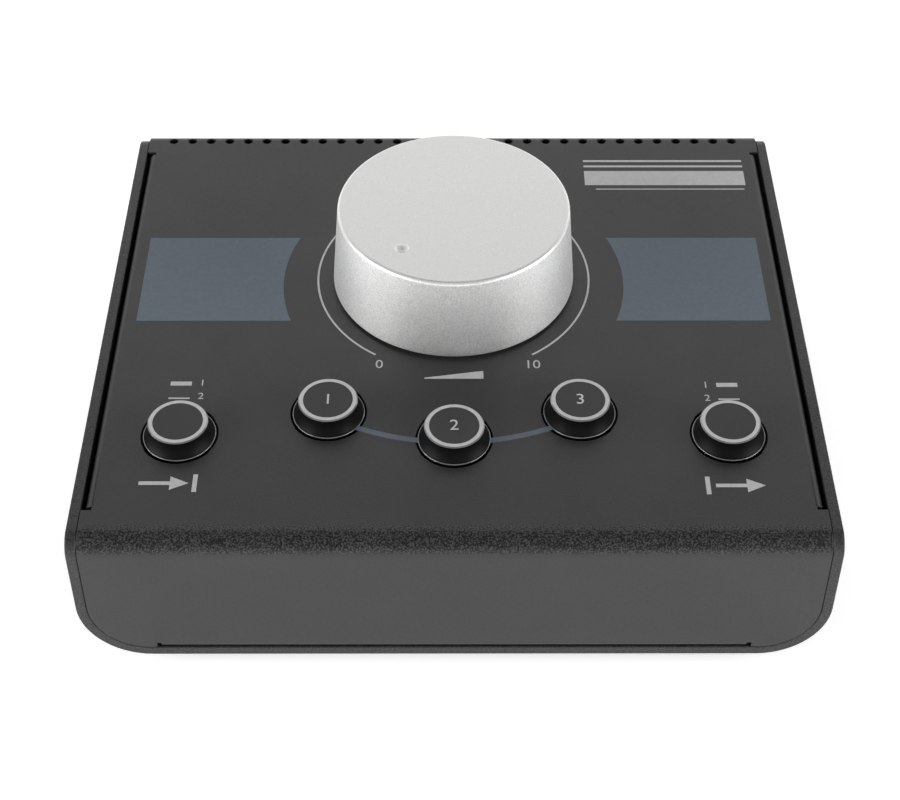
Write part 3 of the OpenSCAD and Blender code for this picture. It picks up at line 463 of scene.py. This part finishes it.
FIELD_X, FIELD_FRONT, FIELD_BACK = 88.9, -18.65, 16.8
FIELD_ARC, FIELD_ARC_AT, FIELD_STEPS = 48.6, -1.9, 40
first = math.asin((FIELD_FRONT - FIELD_ARC_AT) / FIELD_ARC)
last = math.asin((FIELD_BACK - FIELD_ARC_AT) / FIELD_ARC)
for side, name in ((-1, "field_left"), (1, "field_right")):
    field = bmesh.new()
    start = field.verts.new((side * FIELD_ARC * math.cos(first), FIELD_FRONT, 0))
    bmesh.ops.spin(
        field, geom=[start], cent=(0, FIELD_ARC_AT, 0), axis=(0, 0, side), angle=last - first,
        steps=FIELD_STEPS,
    )
    edges = bmesh.ops.extrude_edge_only(field, edges=list(field.edges))
    for v in edges["geom"]:
        if isinstance(v, bmesh.types.BMVert):
            v.co.x = side * FIELD_X
    bmesh.ops.recalc_face_normals(field, faces=field.faces)
    printed(field, name, slate_ink)

LINK_ARC, LINK_WIDTH, LINK_SPREAD, LINK_STEPS = 65.1, 1.7, 31.0, 60
link = bmesh.new()
arc_strip(link, LINK_ARC, LINK_WIDTH, -LINK_SPREAD, LINK_SPREAD, LINK_STEPS)
printed(link, "button_link", slate_ink)

VOLUME_ARC, VOLUME_WIDTH, VOLUME_GAP, VOLUME_STEPS = 38.8, 0.55, 33.7, 160
sweep = bmesh.new()
arc_strip(sweep, VOLUME_ARC, VOLUME_WIDTH, VOLUME_GAP, 360 - VOLUME_GAP, VOLUME_STEPS)
printed(sweep, "volume_arc", light_ink)


def bar(bm, middle, length, height):
    """A flat bar about its middle; returns its corners"""
    at = Matrix.Translation((*middle, 0)) @ Matrix.Diagonal((length, height, 1, 1))
    made = bmesh.ops.create_grid(bm, x_segments=1, y_segments=1, size=0.5, matrix=at)
    return made["verts"]


def arrow(bm, tip, height, length):
    """A flat triangle that points to the right and ends at its tip"""
    at = Matrix.Translation((tip[0] - length * 2 / 3, tip[1], 0)) @ Matrix.Diagonal(
        (length / 1.5, height / math.sqrt(3), 1, 1)
    )
    turned = at @ Matrix.Rotation(-math.pi / 2, 4, "Z")
    bmesh.ops.create_circle(bm, cap_ends=True, segments=3, radius=1, matrix=turned)


SELECT_BAR_X, SELECT_BAR_LONG, THICK_BAR, THIN_BAR = 73.75, 5.7, 1.5, 0.5
for side, tag, thick_y, thin_y in ((-1, "left", -43.4, -48.95), (1, "right", -44.0, -49.4)):
    marks = bmesh.new()
    bar(marks, (side * SELECT_BAR_X, thick_y), SELECT_BAR_LONG, THICK_BAR)
    bar(marks, (side * SELECT_BAR_X, thin_y), SELECT_BAR_LONG, THIN_BAR)
    printed(marks, "select_bars_" + tag, light_ink)

SHAFT, STOP, HEAD = (8.0, 1.2), (1.2, 6.0), (4.6, 4.8)
for name, level, shaft_x, tip_x, stop_x in (
    ("input_mark", -79.3, -77.0, -68.2, -66.6),
    ("output_mark", -80.2, 71.0, 79.8, 65.0),
):
    mark = bmesh.new()
    bar(mark, (shaft_x, level), *SHAFT)
    arrow(mark, (tip_x, level), *HEAD)
    bar(mark, (stop_x, level), *STOP)
    printed(mark, name, light_ink)

WEDGE_AT, WEDGE_LONG, WEDGE_HIGH, WEDGE_TIP_TOP = (0, -40.1), 16.0, 3.0, -41.2
wedge = bmesh.new()
for v in bar(wedge, WEDGE_AT, WEDGE_LONG, WEDGE_HIGH):
    if v.co.x < 0:
        v.co.y = min(v.co.y, WEDGE_TIP_TOP)
printed(wedge, "loudness_wedge", light_ink)

TITLE_X, TITLE_Y, TITLE_LONG, TITLE_HIGH = 64.5, 44.7, 48.8, 6.8
RULES_Y, RULE_HIGH = (50.4, 53.0), 0.9
THIN_RULE_AT, THIN_RULE_LONG, THIN_RULE_HIGH = (65.8, 39.4), 45.0, 0.45
plate = bmesh.new()
bar(plate, (TITLE_X, TITLE_Y), TITLE_LONG, TITLE_HIGH)
printed(plate, "title_bar", grey_ink)
rules = bmesh.new()
for rule_y in RULES_Y:
    bar(rules, (TITLE_X, rule_y), TITLE_LONG, RULE_HIGH)
bar(rules, THIN_RULE_AT, THIN_RULE_LONG, THIN_RULE_HIGH)
printed(rules, "title_rules", grey_ink)

DIAL_DIGIT, SELECT_DIGIT, CAP_DIGIT, DIGIT_SHARE = 3.1, 2.3, 3.6, 0.69
SELECT_DIGIT_X = 68.0


def digits(text, height, at, name, material, body="housing", lift=0.0,
           place=on_panel):
    """A plain number as ink, with its middle at a spot in mm on the panel or on a cap"""
    curve = bpy.data.curves.new(name, "FONT")
    curve.body = text
    curve.align_x, curve.align_y = "CENTER", "CENTER"
    curve.size = height / DIGIT_SHARE
    curve.resolution_u = 6
    drawn = bpy.data.objects.new(name, curve)
    scene.collection.objects.link(drawn)
    bpy.context.view_layer.update()
    mesh = bpy.data.meshes.new_from_object(drawn)
    bpy.data.objects.remove(drawn)
    bm = bmesh.new()
    bm.from_mesh(mesh)
    bpy.data.meshes.remove(mesh)
    bmesh.ops.remove_doubles(bm, verts=bm.verts, dist=0.001)
    bmesh.ops.translate(bm, vec=(*at, lift), verts=bm.verts)
    return printed(bm, name, material, place, body)


digits("0", DIAL_DIGIT, (-20.4, -36.1), "dial_0", light_ink)
digits("10", DIAL_DIGIT, (21.5, -36.2), "dial_10", light_ink)
for side, tag, first_y, second_y in ((-1, "left", -43.2, -48.2), (1, "right", -44.1, -49.0)):
    across = side * SELECT_DIGIT_X
    digits("1", SELECT_DIGIT, (across, first_y), "select_1_" + tag, light_ink)
    digits("2", SELECT_DIGIT, (across, second_y), "select_2_" + tag, light_ink)

# ------------------------------------------------------------------ buttons
# Five moulded caps: a flat matt top with a printed ring, a glossy chamfer and foot rim painted
# light grey as highlights, and a satin black flared skirt that passes through its hole in the
# panel. The stem and the return spring sit below; the spring is as long as it is when pressed,
# and so has room at any time.
CAP_TOP, CAP_TOP_R, CAP_BASE_R, CAP_CHAMFER, CAP_RIM = 4.8, 7.9, 9.6, 0.3, 0.05
CAP_FOOT, CAP_LIP, FOOT_ROUND, CAP_STEPS = 0.3, 0.12, 0.2, 96
FLANGE_R, FLANGE_TOP, FLANGE_LOW = 11.3, -1.8, -3.0
HOLLOW_R, HOLLOW_TOP_R, HOLLOW_NARROWS, HOLLOW_TOP = 8.2, 6.5, 2.4, 3.4
STEM_R, STEM_LONG, STEM_AT = 3.0, 7.9, -0.6
RING_R, RING_W, BUTTON_TRAVEL = 7.09, 1.0, 2.5


def gloss_mould(name, tone, rough, shine):
    """Moulded plastic with a faint unevenness and hairline scuffs; shine is its IOR"""
    material, tree, principled, place = shader(name, {"IOR": shine})
    swell = noise(tree, place, 120, 2.0)
    bumps(tree, principled, swell, 0.03 * MM)
    scuffs = noise(tree, place, 1400, 4.0, 0.7, (1.0, 0.1, 1.0))
    colour = blend_colours(tree, spread(tree, swell, 0.0, 1.0), *shades(tone, 1.0, 1.4))
    gloss = spread(tree, scuffs, rough, rough + 0.08, 0.45, 0.75)
    colour_and_gloss(tree, principled, colour, gloss)
    return material


# Light grey on the glossy chamfer and foot rim of a black cap: a painted highlight
cap_painted_highlight = gloss_mould("cap_painted_highlight", (0.14, 0.14, 0.142), 0.14, 2.0)
cap_satin = gloss_mould("cap_satin", (0.003, 0.003, 0.0032), 0.45, 1.2)
cap_matt = powder_coat("cap_matt", (0.026, 0.026, 0.0265), 0.01 * MM, 0.1, (0.4, 0.5))
ring_ink = ink("ring_ink", (0.57, 0.57, 0.575))


def spun(profile, steps):
    """A closed outline in mm, turned once about the Z axis"""
    bm = bmesh.new()
    verts = [bm.verts.new((r, 0, z)) for r, z in profile]
    edges = [bm.edges.new(pair) for pair in zip(verts, verts[1:])]
    bmesh.ops.spin(
        bm, geom=verts + edges, cent=(0, 0, 0), axis=(0, 0, 1), angle=2 * math.pi, steps=steps,
        use_merge=True,
    )
    bmesh.ops.remove_doubles(bm, verts=bm.verts, dist=0.0005)
    bmesh.ops.recalc_face_normals(bm, faces=bm.faces)
    return bm


def corner(centre, radius, start, end, steps):
    """Points along an arc of the outline, with angles in degrees"""
    angles = [math.radians(start + (end - start) * k / steps) for k in range(steps + 1)]
    return [(centre[0] + radius * math.cos(a), centre[1] + radius * math.sin(a)) for a in angles]


def cap_outline():
    """From the middle of the top, down the skirt and the flange, and back up the hollow"""
    drop = CAP_TOP - CAP_CHAMFER - CAP_RIM
    wide = CAP_BASE_R - CAP_FOOT - CAP_TOP_R
    flare = (wide ** 2 + drop ** 2) / (2 * wide)
    foot_angle = 180 + 0.97 * math.degrees(math.asin(drop / flare))
    lip_at = CAP_TOP_R - CAP_CHAMFER - CAP_LIP
    return (
        [(0, CAP_TOP), (lip_at - CAP_LIP, CAP_TOP)]
        + corner((lip_at, CAP_TOP - CAP_LIP), CAP_LIP, 90, 45, 2)
        + [(CAP_TOP_R, CAP_TOP - CAP_CHAMFER)]
        + corner((CAP_TOP_R + flare, CAP_TOP - CAP_CHAMFER), flare, 180, foot_angle, 14)
        + corner((CAP_BASE_R - FOOT_ROUND, CAP_RIM - FOOT_ROUND), FOOT_ROUND, 90, 0, 5)
        + [(CAP_BASE_R, FLANGE_TOP), (FLANGE_R, FLANGE_TOP), (FLANGE_R, FLANGE_LOW)]
        + [(HOLLOW_R, FLANGE_LOW), (HOLLOW_R, 0.0), (HOLLOW_TOP_R, HOLLOW_NARROWS)]
        + [(HOLLOW_TOP_R, HOLLOW_TOP), (0, HOLLOW_TOP)]
    )


CAP_FINISHES = [cap_painted_highlight, cap_matt, cap_satin]
for button in BUTTONS:
    body = button + "_button"
    low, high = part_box(button + "_cap")
    middle = on_panel.inverted() @ ((low + high) / 2)
    seat = on_panel @ Matrix.Translation((middle.x, middle.y, 0))
    cap = spun(cap_outline(), CAP_STEPS)
    for face in cap.faces:
        height = face.calc_center_median().z
        finish = cap_satin
        if height > CAP_TOP - 0.01:
            finish = cap_matt
        # The chamfer and the foot rim take the light grey of the painted highlight
        elif height > CAP_TOP - CAP_CHAMFER or CAP_RIM - 0.3 < height < CAP_RIM + 0.05:
            finish = cap_painted_highlight
        face.material_index = CAP_FINISHES.index(finish)
    bmesh.ops.create_cone(
        cap, cap_ends=True, segments=32, radius1=STEM_R, radius2=STEM_R, depth=STEM_LONG,
        matrix=Matrix.Translation((0, 0, STEM_AT)),
    )
    bmesh.ops.transform(cap, matrix=seat @ Matrix.Scale(MM, 4), verts=cap.verts)
    finish_piece(cap, button + "_cap_moulded", body, CAP_FINISHES,
                 [button + "_cap"], sharp=25)
    ring = bmesh.new()
    arc_strip(ring, RING_R, RING_W, 0, 360, CAP_STEPS)
    bmesh.ops.translate(ring, vec=(0, 0, CAP_TOP), verts=ring.verts)
    printed(ring, button + "_ring", ring_ink, seat, body)
    frame["nodes"][button + "_plunger"].data.materials[0] = ivory
    coil = bmesh.new()
    coil.from_mesh(frame["nodes"][button + "_spring"].data)
    bmesh.ops.remove_doubles(coil, verts=coil.verts, dist=0.001 * MM)
    heights = [(on_panel.inverted() @ v.co).z for v in coil.verts]
    under_cap = on_panel @ Matrix.Translation((0, 0, max(heights)))
    left_over = 1 - BUTTON_TRAVEL * MM / (max(heights) - min(heights))
    bmesh.ops.transform(
        coil, verts=coil.verts,
        matrix=under_cap @ Matrix.Scale(left_over, 4, (0, 0, 1)) @ under_cap.inverted(),
    )
    finish_piece(coil, button + "_coil", body, zinc, [button + "_spring"])
    if button in ("mono", "mute", "dim"):
        number = str(BUTTONS.index(button))
        digits(number, CAP_DIGIT, (0, 0), button + "_number", ring_ink, body,
               CAP_TOP, seat)

# ------------------------------------------------------------------ volume knob
# Turned from aluminium bar, hollow, with a bead-blasted top and tapered side, a smoother rounded
# edge between them and one dimple as the pointer. The edge is less metallic and the dimple almost
# white and
# hardly metallic: painted highlights. A plastic hub in its bore grips the shaft.
KNOB_LOW, KNOB_TOP, KNOB_BASE_R, KNOB_TOP_R, KNOB_EDGE = 1.1, 26.2, 34.4, 32.2, 1.0
TOP_RINGS, BORE_R, BORE_TOP, KNOB_STEPS, KNOB_SHARP = (20.0, 26.0), 29.0, 22.8, 192, 25
DIMPLE_R, DIMPLE_DEPTH, DIMPLE_OUT, DIMPLE_ANGLE = 2.0, 0.8, 22.8, 38.0
BEADS, COARSE_BEADS, GRAIN_SIDE, GRAIN_TOP = 2700, 1300, 1.7, 0.4
EDGE_SMOOTHER, EDGE_PAINTED_HIGHLIGHT = 0.2, 0.55


def blasted_aluminium(name):
    """Bead-blasted aluminium: grainier on the side than on top, smooth along the edge, and less
    metallic there as a painted highlight
    """
    material, tree, principled, place = shader(name, {"Metallic": 1.0})
    own = tree.nodes.new("ShaderNodeMapping")
    own.vector_type = "TEXTURE"
    own.inputs["Location"].default_value = on_panel.translation
    own.inputs["Rotation"].default_value = (slope, 0, 0)
    tree.links.new(place, own.inputs["Vector"])
    parts = tree.nodes.new("ShaderNodeSeparateXYZ")
    tree.links.new(own.outputs["Vector"], parts.inputs["Vector"])
    along_x, along_y, height = (parts.outputs[axis] for axis in "XYZ")
    squares = combine(tree, "ADD", combine(tree, "POWER", along_x, 2.0),
                      combine(tree, "POWER", along_y, 2.0))
    across = combine(tree, "SQRT", squares, 0.0)
    near_edge = spread(tree, across, 0.0, 1.0, (KNOB_TOP_R - 0.6 * KNOB_EDGE) * MM,
                       (KNOB_TOP_R - 0.4 * KNOB_EDGE) * MM)
    near_top = spread(tree, height, 0.0, 1.0, (KNOB_TOP - KNOB_EDGE) * MM,
                      (KNOB_TOP - KNOB_EDGE + 0.2) * MM)
    on_edge = combine(tree, "MULTIPLY", near_edge, near_top)
    beads = noise(tree, place, BEADS, 2.0, 0.6)
    coarse = noise(tree, place, COARSE_BEADS, 3.0, 0.6)
    relief = combine(tree, "ADD", beads, combine(tree, "MULTIPLY", coarse, 0.4))
    relief = combine(tree, "MULTIPLY", relief, combine(tree, "SUBTRACT", 1.0, on_edge))
    bumps(tree, principled, relief, 0.035 * MM)
    rough = combine(tree, "SUBTRACT", spread(tree, coarse, 0.48, 0.56),
                    combine(tree, "MULTIPLY", on_edge, EDGE_SMOOTHER))
    # Less metallic along the edge, so its pale colour shows: a painted highlight
    metal = combine(tree, "SUBTRACT", 1.0, combine(tree, "MULTIPLY", on_edge, EDGE_PAINTED_HIGHLIGHT))
    tree.links.new(metal, principled.inputs["Metallic"])
    grain = spread(tree, height, GRAIN_SIDE, GRAIN_TOP,
                   (KNOB_TOP - 0.3) * MM, (KNOB_TOP - 0.1) * MM)
    grain = combine(tree, "MULTIPLY", spread(tree, beads, -0.5, 0.5, 0.25, 0.75), grain)
    colour = blend_colours(
        tree, combine(tree, "ADD", grain, 0.5), (0.74, 0.74, 0.73), (1.0, 1.0, 0.99)
    )
    colour_and_gloss(tree, principled, colour, rough)
    return material


aluminium = blasted_aluminium("blasted_aluminium")
taper = math.atan((KNOB_BASE_R - KNOB_TOP_R) / (KNOB_TOP - KNOB_LOW))
edge_r = KNOB_TOP_R - KNOB_EDGE * (1 - math.sin(taper)) / math.cos(taper)
outline = (
    [(r, KNOB_TOP) for r in (0, *TOP_RINGS, edge_r - 0.1)]
    + corner((edge_r, KNOB_TOP - KNOB_EDGE), KNOB_EDGE, 90, math.degrees(taper), 10)
    + [(KNOB_BASE_R - 0.12, KNOB_LOW + 0.35), (KNOB_BASE_R - 0.3, KNOB_LOW)]
    + [(BORE_R, KNOB_LOW), (BORE_R, BORE_TOP), (0, BORE_TOP)]
)
knob = spun(outline, KNOB_STEPS)
bmesh.ops.transform(knob, matrix=on_panel @ Matrix.Scale(MM, 4), verts=knob.verts)
knob_piece = finish_piece(knob, "knob_turned", "volume_knob", aluminium,
                          ["volume_knob"], sharp=KNOB_SHARP)
ball_r = (DIMPLE_R ** 2 + DIMPLE_DEPTH ** 2) / (2 * DIMPLE_DEPTH)
turned = math.radians(DIMPLE_ANGLE)
ball_at = Vector((-math.sin(turned) * DIMPLE_OUT, -math.cos(turned) * DIMPLE_OUT,
                  KNOB_TOP - DIMPLE_DEPTH + ball_r))
ball = bmesh.new()
bmesh.ops.create_uvsphere(ball, u_segments=64, v_segments=48, radius=ball_r,
                          matrix=Matrix.Translation(ball_at))
bmesh.ops.transform(ball, matrix=on_panel @ Matrix.Scale(MM, 4), verts=ball.verts)
ball_mesh = bpy.data.meshes.new("dimple_cutter")
ball.to_mesh(ball_mesh)
ball.free()
# The dimple is almost white and hardly metallic: a painted highlight
dimple_painted_highlight = plated("dimple_painted_highlight", (0.97, 0.97, 0.96), 0.2, 0.1, 900, 0.002 * MM)
ball_mesh.materials.append(dimple_painted_highlight)
cutter = bpy.data.objects.new("dimple_cutter", ball_mesh)
scene.collection.objects.link(cutter)
cut = knob_piece.modifiers.new("dimple", "BOOLEAN")
cut.object = cutter
cut.solver = "EXACT"
cut.material_mode = "TRANSFER"
bpy.context.view_layer.update()
dimpled = bpy.data.meshes.new_from_object(
    knob_piece.evaluated_get(bpy.context.evaluated_depsgraph_get())
)
knob_piece.modifiers.clear()
knob_piece.data = dimpled
dimpled.set_sharp_from_angle(angle=math.radians(KNOB_SHARP))
bpy.data.objects.remove(cutter)

# ------------------------------------------------------------------ studio
# A pale floor that the camera and every reflection see as white paper, a wide soft wall of
# light behind, two soft lamps at the sides and a low one in front.
FLOOR_HALF, FLOOR_GLOW = 8.0, 0.54
floor_mesh = bmesh.new()
bmesh.ops.create_grid(floor_mesh, x_segments=1, y_segments=1, size=FLOOR_HALF)
floor_data = bpy.data.meshes.new("floor")
floor_mesh.to_mesh(floor_data)
floor_mesh.free()
floor = bpy.data.objects.new("floor", floor_data)
scene.collection.objects.link(floor)
floor_paper, tree, principled, place = shader(
    "floor_paper", {"Roughness": 0.9, "Specular IOR Level": 0.0}
)
fibres = spread(tree, noise(tree, place, 3.0, 3.0), 0.88, 0.9)
paper = tree.nodes.new("ShaderNodeCombineColor")
for channel in paper.inputs:
    tree.links.new(fibres, channel)
tree.links.new(paper.outputs["Color"], principled.inputs["Base Color"])
path = tree.nodes.new("ShaderNodeLightPath")
seen = combine(tree, "MAXIMUM", path.outputs["Is Camera Ray"], path.outputs["Is Glossy Ray"])
seen = combine(tree, "MAXIMUM", seen, path.outputs["Is Transmission Ray"])
principled.inputs["Emission Color"].default_value = (1.0, 1.0, 1.0, 1.0)
glow = combine(tree, "MULTIPLY", seen, FLOOR_GLOW)
tree.links.new(glow, principled.inputs["Emission Strength"])
floor_data.materials.append(floor_paper)


AIM = Vector((0, 0, 0.05))


def soft_lamp(name, at, size, radiance):
    """A rectangular soft lamp that faces the part; a radiance of 1 looks white"""
    data = bpy.data.lights.new(name, "AREA")
    data.shape = "RECTANGLE"
    data.size, data.size_y = size
    data.energy = radiance * math.pi * size[0] * size[1]
    lamp = bpy.data.objects.new(name, data)
    lamp.location = at
    lamp.rotation_euler = (AIM - Vector(at)).to_track_quat("-Z", "Y").to_euler()
    lamp.visible_camera = False
    scene.collection.objects.link(lamp)


soft_lamp("wall_behind", (0.0, 1.5, 0.85), (4.4, 1.9), 0.9)
soft_lamp("left_side", (-1.04, -0.42, 0.3), (1.0, 0.6), 6.9)
soft_lamp("right_side", (1.04, -0.42, 0.3), (1.0, 0.6), 6.2)
soft_lamp("low_front", (0.0, -1.6, 0.14), (2.0, 0.26), 1.55)

world = bpy.data.worlds.new("studio_air")
scene.world = world
world.use_nodes = True
background = world.node_tree.nodes["Background"]
background.inputs["Color"].default_value = (1.0, 1.0, 1.0, 1.0)
background.inputs["Strength"].default_value = 0.17

# ------------------------------------------------------------------ sizes and finish
# The scene is brought up to date; the finishes leave the size of the part as it is.
bpy.context.view_layer.update()
